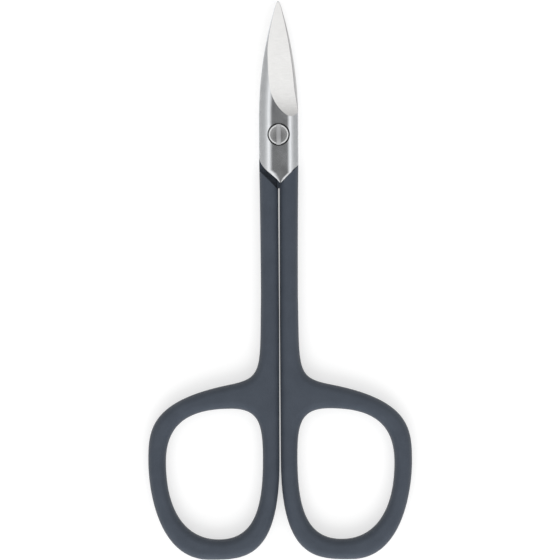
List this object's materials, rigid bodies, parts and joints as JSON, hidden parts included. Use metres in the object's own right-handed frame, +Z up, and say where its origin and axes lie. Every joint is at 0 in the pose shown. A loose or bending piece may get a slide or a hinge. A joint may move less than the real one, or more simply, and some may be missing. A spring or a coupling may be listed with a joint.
{
  "type": "toenail scissors",
  "caption": "Toenail scissors with pointed lapped steel blades on a slotted pivot screw and soft-coated handles that end in oval finger loops.",
  "frame": {"origin": "middle of the bounding box in X and Y, on the table it lies on", "axes": "+X to the right handle, +Y to the blade tips, +Z up towards the slotted screw head"},
  "size_m": [0.0472, 0.1, 0.004],
  "materials": {
    "steel": "polished stainless steel with a fine ground grain",
    "screw_steel": "turned and polished stainless steel",
    "soft_grip": "matt soft-touch coat, blue-grey"
  },
  "bodies": {
    "rear": {"rear_half": "steel", "rear_grip": "soft_grip", "pivot_screw": "screw_steel"},
    "front": {"front_half": "steel", "front_grip": "soft_grip"}
  },
  "joints": [
    {"name": "pivot", "type": "hinge", "parent": "rear", "child": "front", "pos_m": [0, 0.026, 0.002], "axis": [0, 0, 1], "range_deg": [0, 90]}
  ]
}
